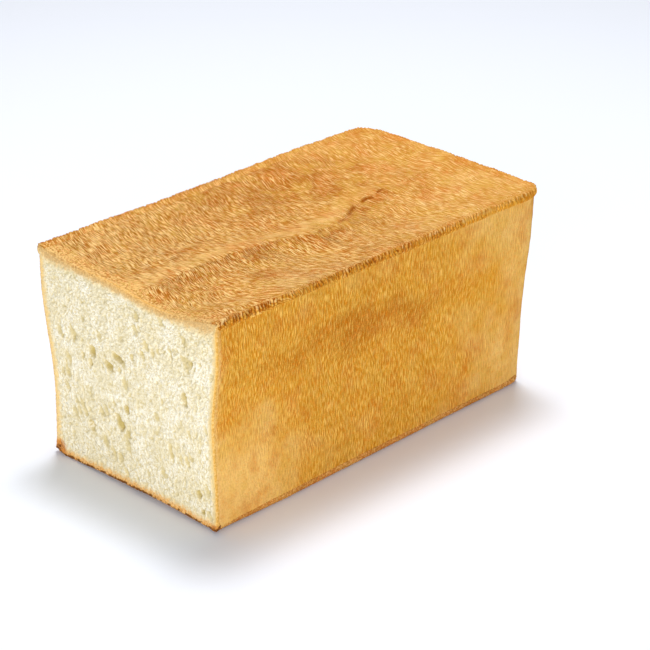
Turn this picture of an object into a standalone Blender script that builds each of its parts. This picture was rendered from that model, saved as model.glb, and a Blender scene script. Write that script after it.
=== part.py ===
"""A tin loaf of white bread, baked under a lid and cut open at one end.

The loaf is one solid, because crust and crumb are one piece of bread. It lies
along Y with its cut face towards -Y, its far end towards +Y and its base on
Z = 0. A block is divided into a grid, its edges are rounded off, and the grid
is then drawn into the shape that the tin, the lid and the oven gave the dough.
"""

import math

import bmesh
import bpy
from mathutils import Vector, noise

# Driving dimensions, in metres.
WIDTH = 0.120  # across the rims
HEIGHT = 0.107  # from the base to the rim
LENGTH = 0.218  # what is left of the loaf, from the cut to the far end
HALF_WIDTH = WIDTH / 2
HALF_LENGTH = LENGTH / 2

# Rounded edges: radii.
END_CORNER = 0.0080  # the two upright corners of the far end
BASE_EDGE = 0.0030  # round the base
RIM_EDGE = 0.0016  # round the top

# Walls, as the tin's taper and the cooling crumb left them.
WALL_DRAFT = 0.0040  # how much closer each wall is at the base
END_DRAFT = 0.0050  # the same for the far end
LEAN = 0.0020  # the base of the cut end stands this much towards +X
WAIST = 0.0025  # how far the walls are drawn in near mid-height
WAIST_RISE = 0.43  # height of the waist, as a fraction of HEIGHT
WAIST_SKEW = 0.07  # the +X wall's waist is this much higher, the -X wall's lower
WAIST_SPREAD = 0.20
SHOULDER = 0.0013  # bulge of the walls under the rim
SHOULDER_RISE = 0.78
SHOULDER_SPREAD = 0.15
FOOT = 0.0010  # the lip that the tin's bottom seam leaves along the base
FOOT_RISE = 0.07
END_BULGE = 0.0020

# Top, as the lid pressed it: a raised rim round a shallow dish.
RIM_RISE = 0.0010  # the rim stands this much above the top beside it
RIM_SPREAD = 0.0030
RIM_OVERHANG = 0.0008
RIM_WAVE = 0.0007
RIM_PITCH = 0.011
DISH = 0.0030  # depth of the dish at the cut
DISH_FAR = 0.0014  # and at the far end
DISH_REACH = 0.035
SLUMP = 0.0010  # the whole top hangs this much lower about midway
SLUMP_Y = -0.020
SLUMP_SPREAD = 0.050
CORNER_DROOP = 0.0016  # the dough fell short of the lid at the two far corners
CORNER_DROOP_REACH = 0.018

# A lengthwise fold in the top: a step down towards +X that softens at the cut.
FOLD_X = 0.0050
FOLD_BEND = 0.0105  # its middle swings this far towards +X
FOLD_BEND_SPREAD = 0.030
FOLD_DRIFT = -0.035  # slope of the rest of its path, in X for each metre of Y
FOLD_STEP = 0.0024
FOLD_STEP_AT_CUT = 0.0038
FOLD_SOFT = 0.0024  # half the width of the step where it is sharp
FOLD_SOFT_AT_CUT = 0.026
FOLD_REACH = 0.034  # how far the low side takes to rise again
FOLD_LIP = 0.0006
FOLD_LIP_SPREAD = 0.0030
FOLD_END = 0.062  # Y where the fold dies out

# By the cut the base lifts a little: it stands on its -X foot and arches from there.
LIFT = 0.0010
LIFT_FROM = -0.050  # X where the lift starts
LIFT_TO = -0.020
ARCH = 0.0008
ARCH_X = 0.018
ARCH_SPREAD = 0.022
LIFT_REACH = 0.050  # how far from the cut the base lies flat again

# Unevenness of the whole skin: height and length of its swells.
SWELL = 0.0004
SWELL_LENGTH = 0.038
RIPPLE = 0.00025
RIPPLE_LENGTH = 0.012

# Grid: steps in from an edge, and the even step between them.
EDGE_STEPS = (0.0008, 0.0022, 0.0045, 0.0085, 0.0140)
FOLD_STATIONS = (-0.004, 0.020)
FOLD_GRID = 0.0024
WIDE_GRID = 0.0075
LONG_GRID = 0.0056
TALL_GRID = 0.0098

CRUST_COLOUR = (0.66, 0.36, 0.12, 1.0)
CRUMB_COLOUR = (0.86, 0.79, 0.60, 1.0)


def clear_scene():
    for old in list(bpy.data.objects):
        bpy.data.objects.remove(old, do_unlink=True)


def bread_material(name, colour, roughness):
    material = bpy.data.materials.new(name)
    material.use_nodes = True
    shader = material.node_tree.nodes["Principled BSDF"]
    shader.inputs["Base Color"].default_value = colour
    shader.inputs["Roughness"].default_value = roughness
    shader.inputs["Metallic"].default_value = 0.0
    return material


def smooth(low, high, value):
    """0 at low, 1 at high, with a level start and finish."""
    t = min(max((value - low) / (high - low), 0.0), 1.0)
    return t * t * (3.0 - 2.0 * t)


def bell(value, centre, spread):
    return math.exp(-(((value - centre) / spread) ** 2))


def blend(a, b, share_of_b):
    return a + (b - a) * share_of_b


def spaced(low, high, step):
    """Even stations from low to high, with both ends."""
    count = max(1, round((high - low) / step))
    return [low + (high - low) * i / count for i in range(count + 1)]


def stations_across():
    """X of the planes that divide the block: close at the walls and at the fold."""
    left = [-HALF_WIDTH + step for step in EDGE_STEPS]
    right = [HALF_WIDTH - step for step in reversed(EDGE_STEPS)]
    fold = spaced(*FOLD_STATIONS, FOLD_GRID)
    to_fold = spaced(left[-1], fold[0], WIDE_GRID)[1:-1]
    from_fold = spaced(fold[-1], right[0], WIDE_GRID)[1:-1]
    return left + to_fold + fold + from_fold + right


def stations_along():
    """Y of the planes that divide the block: close at the far end's corners."""
    far = [HALF_LENGTH - step for step in reversed(EDGE_STEPS)]
    return spaced(-HALF_LENGTH, far[0], LONG_GRID)[1:-1] + far


def stations_up():
    """Z of the planes that divide the block: close at the base and at the rim."""
    low = list(EDGE_STEPS)
    high = [HEIGHT - step for step in reversed(EDGE_STEPS)]
    return low + spaced(low[-1], high[0], TALL_GRID)[1:-1] + high


def divided_block():
    """A block of the driving size, cut into a grid by planes."""
    bm = bmesh.new()
    bmesh.ops.create_cube(bm, size=1.0)
    bmesh.ops.scale(bm, vec=(WIDTH, LENGTH, HEIGHT), verts=bm.verts)
    bmesh.ops.translate(bm, vec=(0.0, 0.0, HEIGHT / 2), verts=bm.verts)
    for axis, stations in enumerate((stations_across(), stations_along(), stations_up())):
        normal = Vector((axis == 0, axis == 1, axis == 2))
        for station in stations:
            everything = bm.verts[:] + bm.edges[:] + bm.faces[:]
            bmesh.ops.bisect_plane(bm, geom=everything, plane_co=normal * station, plane_no=normal)
    return bm


def round_off(a, b):
    """Turns the square corner where a and b are both above 0 into a quarter circle."""
    if a <= 0.0 or b <= 0.0:
        return a, b
    shrink = max(a, b) / math.hypot(a, b)
    return a * shrink, b * shrink


def round_level_edge(point, radius, depth):
    """Rounds the walls into the base or the top; depth is how far the point is from that face."""
    side = abs(point.x) - (HALF_WIDTH - radius)
    end = point.y - (HALF_LENGTH - radius)
    out = max(side, end)
    new_out, new_depth = round_off(out, radius - depth)
    if out > 0.0:
        drawn_in = new_out / out
        if side > 0.0:
            point.x = math.copysign(HALF_WIDTH - radius + side * drawn_in, point.x)
        if end > 0.0:
            point.y = HALF_LENGTH - radius + end * drawn_in
    return radius - new_depth


def round_edges(point):
    """Moves a point of the block onto the block with rounded edges."""
    if point.z < BASE_EDGE:
        point.z = round_level_edge(point, BASE_EDGE, point.z)
    if point.z > HEIGHT - RIM_EDGE:
        point.z = HEIGHT - round_level_edge(point, RIM_EDGE, HEIGHT - point.z)
    side = abs(point.x) - (HALF_WIDTH - END_CORNER)
    end = point.y - (HALF_LENGTH - END_CORNER)
    if side > 0.0 and end > 0.0:
        side, end = round_off(side, end)
        point.x = math.copysign(HALF_WIDTH - END_CORNER + side, point.x)
        point.y = HALF_LENGTH - END_CORNER + end


def distance_from_wall(x, y):
    """How far in from the nearest of the three baked walls, seen from above."""
    side = abs(x) - (HALF_WIDTH - END_CORNER)
    end = y - (HALF_LENGTH - END_CORNER)
    outside = math.hypot(max(side, 0.0), max(end, 0.0))
    return END_CORNER - outside - min(max(side, end), 0.0)


def nearness_to_cut(y):
    return 1.0 - smooth(-HALF_LENGTH, HALF_LENGTH, y)


def wall_offset(side, rise, y):
    """How far the wall on this side (-1 or 1) stands out at a height, from 0 to 1."""
    near = nearness_to_cut(y)
    waist_rise = WAIST_RISE + WAIST_SKEW * side
    waist = WAIST * near * bell(rise, waist_rise, WAIST_SPREAD)
    shoulder = SHOULDER * bell(rise, SHOULDER_RISE, SHOULDER_SPREAD)
    foot = FOOT * (1.0 - smooth(0.0, FOOT_RISE, rise))
    lean = LEAN * near * side
    overhang = RIM_OVERHANG * smooth(0.96, 1.0, rise)
    return (lean - WALL_DRAFT) * (1.0 - rise) - waist + shoulder + foot + overhang


def end_offset(across, rise):
    """How far the far end stands out; across runs from -1 to 1."""
    bulge = END_BULGE * (1.0 - across**2) * (0.4 + 0.6 * math.sin(math.pi * rise))
    foot = FOOT * (1.0 - smooth(0.0, FOOT_RISE, rise))
    overhang = RIM_OVERHANG * smooth(0.96, 1.0, rise)
    return bulge + foot + overhang - END_DRAFT * (1.0 - rise)


def corner_droop(x, y):
    near_side = smooth(HALF_WIDTH - CORNER_DROOP_REACH, HALF_WIDTH, abs(x))
    near_end = smooth(HALF_LENGTH - CORNER_DROOP_REACH, HALF_LENGTH, y)
    return CORNER_DROOP * near_side * near_end


def fold_path(y):
    """X of the fold's upper edge."""
    return FOLD_X + FOLD_DRIFT * (y + HALF_LENGTH / 2) + FOLD_BEND * bell(y, 0.0, FOLD_BEND_SPREAD)


def fold_height(x, y, inward):
    """The step down beyond the fold, with the lip along its upper edge."""
    towards_cut = 1.0 - smooth(-HALF_LENGTH, -HALF_LENGTH + 0.055, y)
    living = 1.0 - smooth(FOLD_END - 0.030, FOLD_END, y)
    step = blend(FOLD_STEP, FOLD_STEP_AT_CUT, towards_cut) * living
    soft = blend(FOLD_SOFT, FOLD_SOFT_AT_CUT, towards_cut)
    past = x - fold_path(y)
    low_side = smooth(-soft, soft, past) * bell(max(past, 0.0), 0.0, FOLD_REACH)
    lip = FOLD_LIP * bell(past, -FOLD_LIP_SPREAD, FOLD_LIP_SPREAD) * living * (1.0 - towards_cut)
    return lip - step * low_side * smooth(0.0, 0.020, inward)


def top_height(x, y):
    """Height of the top at a place on it: dish, slump, fold and rim."""
    inward = distance_from_wall(x, y)
    depth = blend(DISH_FAR, DISH, nearness_to_cut(y))
    dish = depth * smooth(0.0, DISH_REACH, inward)
    wave = noise.noise(Vector((x, y, 0.0)) / RIM_PITCH) * RIM_WAVE
    rim = (RIM_RISE + wave) * bell(inward, 0.0, RIM_SPREAD) - RIM_RISE
    slump = SLUMP * bell(y, SLUMP_Y, SLUMP_SPREAD) + corner_droop(x, y)
    return HEIGHT - dish - slump + fold_height(x, y, inward) + rim


def base_height(x, y):
    lifted = LIFT * smooth(LIFT_FROM, LIFT_TO, x) + ARCH * bell(x, ARCH_X, ARCH_SPREAD)
    return lifted * (1.0 - smooth(0.0, LIFT_REACH, y + HALF_LENGTH))


def unevenness(point):
    """Swells and ripples of the skin, each between about -1 and 1 of its size."""
    swell = noise.noise(point / SWELL_LENGTH) * SWELL
    ripple = noise.noise(point / RIPPLE_LENGTH + Vector((7.0, 3.0, 5.0))) * RIPPLE
    return swell + ripple


def baked(point):
    """Where a point of the rounded block ends up on the loaf."""
    across = point.x / HALF_WIDTH
    rise = point.z / HEIGHT
    side = math.copysign(1.0, point.x)
    to_end = smooth(0.0, HALF_LENGTH, point.y)
    off_base = smooth(0.0, 0.10, rise)
    skin = unevenness(point)
    width = HALF_WIDTH + wall_offset(side, rise, point.y) + skin * off_base
    top = top_height(point.x, point.y) + skin
    return Vector(
        (
            across * width,
            point.y + (end_offset(across, rise) + skin * off_base) * to_end,
            blend(base_height(point.x, point.y), top, rise),
        )
    )


def settle(bm):
    """Centres the loaf on the Z axis and rests its base on Z = 0."""
    low = Vector(min(v.co[axis] for v in bm.verts) for axis in range(3))
    high = Vector(max(v.co[axis] for v in bm.verts) for axis in range(3))
    middle = (low + high) / 2
    bmesh.ops.translate(bm, vec=(-middle.x, -middle.y, -low.z), verts=bm.verts)


def add_loaf(collection):
    bm = divided_block()
    for vertex in bm.verts:
        round_edges(vertex.co)
        vertex.co = baked(vertex.co)
    settle(bm)
    bmesh.ops.recalc_face_normals(bm, faces=bm.faces)
    for face in bm.faces:
        face.material_index = int(face.normal.y < -0.99)
        face.smooth = face.material_index == 0
    mesh = bpy.data.meshes.new("loaf")
    bm.to_mesh(mesh)
    bm.free()
    mesh.materials.append(bread_material("crust", CRUST_COLOUR, 0.75))
    mesh.materials.append(bread_material("crumb", CRUMB_COLOUR, 0.90))
    loaf = bpy.data.objects.new("loaf", mesh)
    collection.objects.link(loaf)
    return loaf


clear_scene()
tin_loaf = bpy.data.collections.new("tin_loaf")
bpy.context.scene.collection.children.link(tin_loaf)
add_loaf(tin_loaf)
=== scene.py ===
"""The looks of a tin loaf of white bread, baked under a lid and cut open at one end.

Everything is in metres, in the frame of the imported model: the cut faces -Y, the far
end +Y, and the loaf stands on Z = 0. The crusts are thin closed skins laid on the packed
loaf's surface: the base, the walls, the lid's flat top and the pleated rim round it. The
crumb fills them.
"""

import math

import bpy
import numpy as np
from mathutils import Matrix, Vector
from mathutils.bvhtree import BVHTree


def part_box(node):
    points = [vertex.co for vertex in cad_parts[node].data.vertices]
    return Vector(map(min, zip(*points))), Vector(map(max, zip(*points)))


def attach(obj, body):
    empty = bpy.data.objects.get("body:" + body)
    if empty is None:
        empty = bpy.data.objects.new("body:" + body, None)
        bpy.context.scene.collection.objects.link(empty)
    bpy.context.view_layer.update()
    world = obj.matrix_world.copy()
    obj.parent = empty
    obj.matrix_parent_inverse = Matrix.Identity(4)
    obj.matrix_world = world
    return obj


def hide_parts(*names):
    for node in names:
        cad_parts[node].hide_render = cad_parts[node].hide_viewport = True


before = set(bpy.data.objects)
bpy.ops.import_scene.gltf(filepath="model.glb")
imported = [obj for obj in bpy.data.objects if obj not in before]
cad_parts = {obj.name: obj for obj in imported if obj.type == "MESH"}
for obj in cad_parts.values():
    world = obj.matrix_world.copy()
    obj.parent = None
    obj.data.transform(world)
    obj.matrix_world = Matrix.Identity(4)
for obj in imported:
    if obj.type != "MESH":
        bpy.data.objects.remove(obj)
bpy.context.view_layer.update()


# ---------------------------------------------------------------------------
# Base crust. The dough's underside, baked hard on the floor of the tin: a thin skin
# that turns up round the foot of the walls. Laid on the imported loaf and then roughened.
# ---------------------------------------------------------------------------

LOAF_LOW, LOAF_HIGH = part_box("loaf")
HALF_WIDTH = (LOAF_HIGH.x - LOAF_LOW.x) / 2
CUT_Y = LOAF_LOW.y + 0.0006  # the cut stands back, so that torn bits stay within the size
SKIN_Y = CUT_Y + 0.0008  # the skins start here, behind the crumb's rounded edge
FAR_Y = LOAF_HIGH.y
TOP_Z = LOAF_HIGH.z
CORNER = 0.0080  # radius of the two upright corners of the far end
CORE_X = HALF_WIDTH - CORNER
CORE_Y = FAR_Y - CORNER

CRUST = 0.0008  # thickness of a skin
DRAWN_IN = 0.0005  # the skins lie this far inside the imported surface, to leave room for relief
STRIDE = 8  # the inner side of a skin has one line for each eight of the outer side
SURE_HIT = 0.0120  # probes start this far outside the ideal block
WELL_CLEAR = 0.2  # and those that measure the walls this far from the middle

BASE_STEP = 0.00080
BASE_ROLL = 0.0030  # radius of its bend
BASE_FOOT = 0.0016  # height of the turned-up skin above its bend
BASE_SOFTNESS = 0.0035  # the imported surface's facets are melted away over this distance
BASE_PROUD = 0.0002  # the turned-up skin stands out past the walls,
TURN_START, TURN_LENGTH, TURN_DEPTH = 0.0004, 0.0012, 1.2 * CRUST  # and its edge turns in


def stations(low, high, step):
    """Even stations from low to high, with a whole number of strides between them."""
    return np.linspace(low, high, 1 + STRIDE * round((high - low) / step / STRIDE))


def bent_down(core, out, ring, roll):
    """Places and outward directions on a level sheet, 0 high, bent down at its edge. Each
    point is ring away from its core point, measured along the sheet in the level
    direction out; roll is the bend's radius."""
    level = CORNER - roll
    turn = np.clip((ring - level) / roll, 0, math.pi / 2)
    reach = np.minimum(ring, level) + roll * np.sin(turn)
    drop = roll * (1 - np.cos(turn)) + np.maximum(ring - level - roll * math.pi / 2, 0)
    place = np.dstack((core + out * reach[..., None], -drop))
    return place, np.dstack((out * np.sin(turn)[..., None], np.cos(turn)))


def bent_sheet(across, along, roll):
    """A rectangular sheet bent down over the three baked walls. Also gives how far each
    point is past the start of the bend."""
    core = np.stack((np.clip(across, -CORE_X, CORE_X), np.minimum(along, CORE_Y)), -1)
    past = np.stack((across, along), -1) - core
    ring = np.abs(past).max(-1)
    out = past / np.maximum(np.linalg.norm(past, axis=-1, keepdims=True), 1e-9)
    return *bent_down(core, out, ring, roll), ring - (CORNER - roll)


def evened(field, passes):
    """Averages each value with its neighbours, again and again, to melt facets away."""
    for _ in range(passes):
        wide = np.pad(field, 1, mode="edge")
        beside = wide[:-2, 1:-1] + wide[2:, 1:-1] + wide[1:-1, :-2] + wide[1:-1, 2:]
        field = (beside + 4 * field) / 8
    return field


packed = BVHTree.FromPolygons(
    [vertex.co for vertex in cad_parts["loaf"].data.vertices],
    [tuple(face.vertices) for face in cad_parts["loaf"].data.polygons],
)


def laid_on_loaf(place, direction, step, softness):
    """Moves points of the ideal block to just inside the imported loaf's surface."""
    start = place + direction * SURE_HIT
    stand = np.empty(place.shape[:2])
    for spot in np.ndindex(stand.shape):
        distance = packed.ray_cast(start[spot], -direction[spot])[3]
        stand[spot] = SURE_HIT - DRAWN_IN - distance
    stand = evened(stand, round(4 * (softness / step) ** 2))
    return place + direction * stand[..., None]


def wall_at(y, z, side):
    """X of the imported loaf's wall on this side, -1 or 1."""
    return packed.ray_cast(Vector((side * WELL_CLEAR, y, z)), Vector((-side, 0, 0)))[0].x


def quads(numbers):
    """The faces of a grid of vertex numbers."""
    corners = (numbers[:-1, :-1], numbers[:-1, 1:], numbers[1:, 1:], numbers[1:, :-1])
    return np.stack(corners, -1).reshape(-1, 4)


def border(numbers):
    """The closed loop round a grid of vertex numbers."""
    sides = (numbers[0, :-1], numbers[:-1, -1], numbers[-1, :0:-1], numbers[:0:-1, 0])
    return np.concatenate(sides)


def stitched(fine, coarse):
    """Faces that join a closed loop of vertices to one with fewer, further in."""
    stride = len(fine) // len(coarse)
    fine = np.append(fine, fine[0])
    coarse = np.append(coarse, coarse[0])
    joins = []
    for start in range(len(coarse) - 1):
        span = fine[start * stride : (start + 1) * stride + 1]
        joins.append([*span[::-1], *coarse[start : start + 2]])
    return joins


def add_mark(mesh, name, values):
    """Stores a value or a vector at each vertex, for the modifiers and materials."""
    values = np.asarray(values, np.float32)
    if values.ndim == 1:
        mesh.attributes.new(name, "FLOAT", "POINT").data.foreach_set("value", values)
    else:
        attribute = mesh.attributes.new(name, "FLOAT_VECTOR", "POINT")
        attribute.data.foreach_set("vector", values.ravel())


MAP_MARGIN = 0.012
MAP_INNER = 0.10  # the share of the map for the unseen inner side
MAP_EDGE = 0.014  # and for the thin edge


def add_bake_map(mesh, spread, counts, rows):
    """The UV map for the bake. The outer side fills most of it, folded into rows; the
    inner side and the edge have strips below. spread holds each vertex's place on its
    sheet, 0 to 1, and counts the numbers of outer and of inner faces."""
    corner = np.empty(len(mesh.loops), np.int32)
    mesh.loops.foreach_get("vertex_index", corner)
    sizes = np.empty(len(mesh.polygons), np.int32)
    mesh.polygons.foreach_get("loop_total", sizes)
    place = spread[corner]
    first = np.cumsum(sizes) - sizes
    face = np.repeat(np.arange(len(sizes)), sizes)

    # The outer faces, each in the row that it starts in.
    start = np.minimum.reduceat(place[:, 0], first)
    row = np.minimum(np.floor(start * rows + 1e-6), rows - 1)[face]
    below = MAP_INNER + MAP_EDGE + 2 * MAP_MARGIN
    u = place[:, 0] * rows - row
    v = (row + MAP_MARGIN + (1 - 2 * MAP_MARGIN) * place[:, 1]) / rows
    v = below + (1 - below) * v

    # The inner faces, as one low strip.
    inner = (face >= counts[0]) & (face < sum(counts))
    u[inner] = place[inner, 0]
    v[inner] = MAP_INNER * place[inner, 1]

    # The edge faces, side by side round the skin, fine side up.
    edge = face >= sum(counts)
    turns = face[edge] - sum(counts)
    joined = sizes[sum(counts) :]
    step = np.concatenate([[*range(size - 3, -1, -1), 0, size - 3] for size in joined])
    stride = (joined - 3)[turns]
    u[edge] = (turns + step / stride) / len(joined)
    outside = np.concatenate([[1] * (size - 2) + [0, 0] for size in joined])
    v[edge] = MAP_INNER + MAP_MARGIN + MAP_EDGE * outside
    uv = np.stack((MAP_MARGIN + (1 - 2 * MAP_MARGIN) * u, v), -1)
    mesh.uv_layers.new(name="OFBake").data.foreach_set("uv", uv.ravel())


def add_skin(name, outer, out, marks, map_rows=1):
    """A closed skin from its outer side: a coarser inner side and the edge are added. A
    mark is one number or has a value for each vertex of the outer side."""
    inner = (outer - out * CRUST)[::STRIDE, ::STRIDE]
    fine = np.arange(outer[..., 0].size).reshape(outer.shape[:2])
    coarse = fine.size + np.arange(inner[..., 0].size).reshape(inner.shape[:2])
    faces = [quads(fine).tolist(), quads(coarse)[:, ::-1].tolist()]
    faces.append(stitched(border(fine), border(coarse)))
    mesh = bpy.data.meshes.new(name)
    places = np.concatenate((outer.reshape(-1, 3), inner.reshape(-1, 3)))
    mesh.from_pydata(places, [], sum(faces, []))
    mesh.shade_smooth()
    marks = {"painted_shade_and_scorch": 0.0, "fringe_and_highlight": 0.0, **marks, "out": out, "outer": 1.0}
    for mark, values in marks.items():
        if np.ndim(values) == 0:
            values = np.full(fine.shape, values)
        values = values.reshape(*fine.shape, -1)
        both = [part.reshape(-1, part.shape[-1]) for part in (values, values[::STRIDE, ::STRIDE])]
        if mark == "outer":
            both[1] = both[1] * 0
        add_mark(mesh, mark, np.concatenate(both).squeeze())
    up, right = np.meshgrid(*[np.linspace(0, 1, n) for n in fine.shape], indexing="ij")
    grid = np.stack((right, up), -1)
    spread = np.concatenate((grid.reshape(-1, 2), grid[::STRIDE, ::STRIDE].reshape(-1, 2)))
    add_bake_map(mesh, spread, (len(faces[0]), len(faces[1])), map_rows)
    piece = bpy.data.objects.new(name, mesh)
    bpy.context.scene.collection.objects.link(piece)
    return piece


class Wire:
    """A value in a node tree, so that shader and geometry maths read as expressions."""

    def __init__(self, tree, socket=None):
        self.tree = tree
        self.socket = socket

    def node(self, kind, settings=(), inputs=(), output=0):
        """Adds a node with these settings, values and links, and gives its output."""
        made = self.tree.nodes.new(kind)
        for name, value in dict(settings).items():
            setattr(made, name, value)
        for name, value in dict(inputs).items():
            if isinstance(value, Wire):
                self.tree.links.new(value.socket, made.inputs[name])
            else:
                made.inputs[name].default_value = value
        return Wire(self.tree, made.outputs[output])

    def maths(self, operation, *values):
        """A Math node on these values, in their order."""
        return self.node("ShaderNodeMath", {"operation": operation}, enumerate(values))

    def __add__(self, other):
        return self.maths("ADD", self, other)

    def __sub__(self, other):
        return self.maths("SUBTRACT", self, other)

    def __rsub__(self, other):
        return self.maths("SUBTRACT", other, self)

    def __mul__(self, other):
        return self.maths("MULTIPLY", self, other)

    def __truediv__(self, other):
        return self.maths("DIVIDE", self, other)

    def __rtruediv__(self, other):
        return self.maths("DIVIDE", other, self)

    __radd__ = __add__
    __rmul__ = __mul__

    def rising(self, low, high):
        """0 at low and 1 at high, with a soft start and finish."""
        ends = {0: self, 1: low, 2: high, 3: 0.0, 4: 1.0}
        return self.node("ShaderNodeMapRange", {"interpolation_type": "SMOOTHSTEP"}, ends)

    def scaled(self, *factors):
        """This vector with each of its parts multiplied."""
        settings = {"operation": "MULTIPLY"}
        return self.node("ShaderNodeVectorMath", settings, {0: self, 1: factors})

    def moved(self, vector):
        """This vector with another added."""
        return self.node("ShaderNodeVectorMath", {"operation": "ADD"}, {0: self, 1: vector})

    def times(self, number):
        """This vector multiplied by a number."""
        settings = {"operation": "SCALE"}
        return self.node("ShaderNodeVectorMath", settings, {0: self, "Scale": number})

    def noise(self, detail=2.0, roughness=0.5, output=0):
        """Soft noise about 0.5, with swells one unit long in this vector."""
        inputs = {"Vector": self, "Scale": 1.0, "Detail": detail, "Roughness": roughness}
        return self.node("ShaderNodeTexNoise", {}, inputs, output)

    def swells(self, size, detail=2.0, roughness=0.5, output=0):
        """Soft noise about 0.5, with swells of this size."""
        return self.times(1 / size).noise(detail, roughness, output)

    def mark(self, name, output="Fac"):
        """Reads a mark inside a material."""
        return self.node("ShaderNodeAttribute", {"attribute_name": name}, {}, output)

    def tinted(self, colour, share):
        """This colour mixed with another."""
        inputs = {0: share, 6: self, 7: colour}
        return self.node("ShaderNodeMix", {"data_type": "RGBA"}, inputs, 2)


def geometry_tree(name, sizes):
    """A new tree with a geometry input and named sizes; gives the tree, the geometry
    and a function that reads a named size."""
    tree = bpy.data.node_groups.new(name, "GeometryNodeTree")
    tree.interface.new_socket("Geometry", in_out="OUTPUT", socket_type="NodeSocketGeometry")
    tree.interface.new_socket("Geometry", in_out="INPUT", socket_type="NodeSocketGeometry")
    for size in sizes:
        tree.interface.new_socket(size, in_out="INPUT", socket_type="NodeSocketFloat")
    given = tree.nodes.new("NodeGroupInput")
    return tree, Wire(tree, given.outputs[0]), lambda size: Wire(tree, given.outputs[size])


def mark_in(wire, name, kind="FLOAT"):
    """Reads a mark inside a geometry tree."""
    return wire.node("GeometryNodeInputNamedAttribute", {"data_type": kind}, {"Name": name})


def pushed_out(geometry, height):
    """Moves a piece's surface by this height along its mark "out"."""
    offset = mark_in(geometry, "out", "FLOAT_VECTOR").times(height)
    return geometry.node("GeometryNodeSetPosition", {}, {0: geometry, "Offset": offset})


def finish_tree(geometry, material):
    """Ends a tree with plain geometry in its material."""
    plain = geometry.node("GeometryNodeRealizeInstances", {}, {0: geometry})
    done = plain.node("GeometryNodeSetMaterial", {}, {"Geometry": plain, "Material": material})
    end = geometry.tree.nodes.new("NodeGroupOutput")
    geometry.tree.links.new(done.socket, end.inputs[0])


def work(piece, tree, sizes):
    """Runs a tree on a piece, and keeps what it makes as the piece's plain mesh."""
    modifier = piece.modifiers.new(tree.name, "NODES")
    modifier.node_group = tree
    for item in tree.interface.items_tree:
        if item.in_out == "INPUT" and item.name in sizes:
            modifier[item.identifier] = sizes[item.name]
    graph = bpy.context.evaluated_depsgraph_get()
    mesh = bpy.data.meshes.new_from_object(
        piece.evaluated_get(graph), preserve_all_data_layers=True, depsgraph=graph
    )
    piece.modifiers.remove(modifier)
    piece.data = mesh


STREAK_LONG = 0.0080  # the skin's pale streaks: length of their pattern
STREAK_SHORT = 0.0011  # and width
GRANULE = 0.0010


def risen_skin(material):
    """Tree for the skin's relief: ridges of stretched gas cells, swells, and granules
    where the mark "grainy" is 1."""
    sizes = ("Ridge Height", "Swell Height", "Swell Size", "Granule Height")
    tree, geometry, size = geometry_tree("risen_skin", sizes)
    sheet = mark_in(geometry, "sheet", "FLOAT_VECTOR")
    place = geometry.node("GeometryNodeInputPosition")
    ridge = sheet.scaled(1 / STREAK_LONG, 1 / STREAK_SHORT, 0).noise(1.0) - 0.5
    swell = place.swells(size("Swell Size")) - 0.5
    granule = place.swells(GRANULE, 1.0) - 0.5
    grainy = mark_in(geometry, "grainy")
    height = ridge * size("Ridge Height") * (1 - grainy * 0.6)
    height = height + swell * size("Swell Height")
    height = height + granule * grainy * size("Granule Height")
    moved = pushed_out(geometry, height * mark_in(geometry, "outer"))
    finish_tree(moved, material)
    return tree


def held_in_size(piece):
    """Keeps a piece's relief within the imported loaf's box."""
    places = np.empty(len(piece.data.vertices) * 3, np.float32)
    piece.data.vertices.foreach_get("co", places)
    places = np.clip(places.reshape(-1, 3), LOAF_LOW, LOAF_HIGH)
    piece.data.vertices.foreach_set("co", places.ravel())
    piece.data.update()


def colour(red, green, blue):
    """A screen colour, 0 to 255, as the light that a shader works in."""
    return (*[((part / 255 + 0.055) / 1.055) ** 2.4 for part in (red, green, blue)], 1.0)


SPECKLE, HUE_SIZE = 0.0006, 0.0014
BLUSH_SIZE, PATCH_SIZE = 0.012, 0.016
BEND_SIZE, BEND_SHIFT = 0.018, 0.0060  # the streaks wander over this distance, this far
FAINT_Y, CLEAR_Y = 0.16, -0.04  # the finest streaks are faint at the first, clear at the next
RELIEF = 0.0006  # height of the finest relief
# cream of pale fringes, and of painted highlights on the rim's pleats
FRINGE_AND_HIGHLIGHT_CREAM = colour(242, 202, 134)
FLECK_CREAM = colour(252, 222, 162)
# brown of painted shade in grooves, cracks and under torn edges, and of scorched specks
SHADE_AND_SCORCH_BROWN = colour(150, 78, 0)
FLUSH = colour(204, 118, 44)


def finish_material(material, tone, height, roughness, gloss):
    """Gives a material's shader its colour, its finest relief and its dull surface."""
    shader = material.node_tree.nodes["Principled BSDF"]
    inputs = {"Strength": 1.0, "Distance": RELIEF, "Height": height}
    bump = tone.node("ShaderNodeBump", {}, inputs, "Normal")
    material.node_tree.links.new(tone.socket, shader.inputs["Base Color"])
    material.node_tree.links.new(bump.socket, shader.inputs["Normal"])
    shader.inputs["Roughness"].default_value = roughness
    shader.inputs["Specular IOR Level"].default_value = gloss


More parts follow.
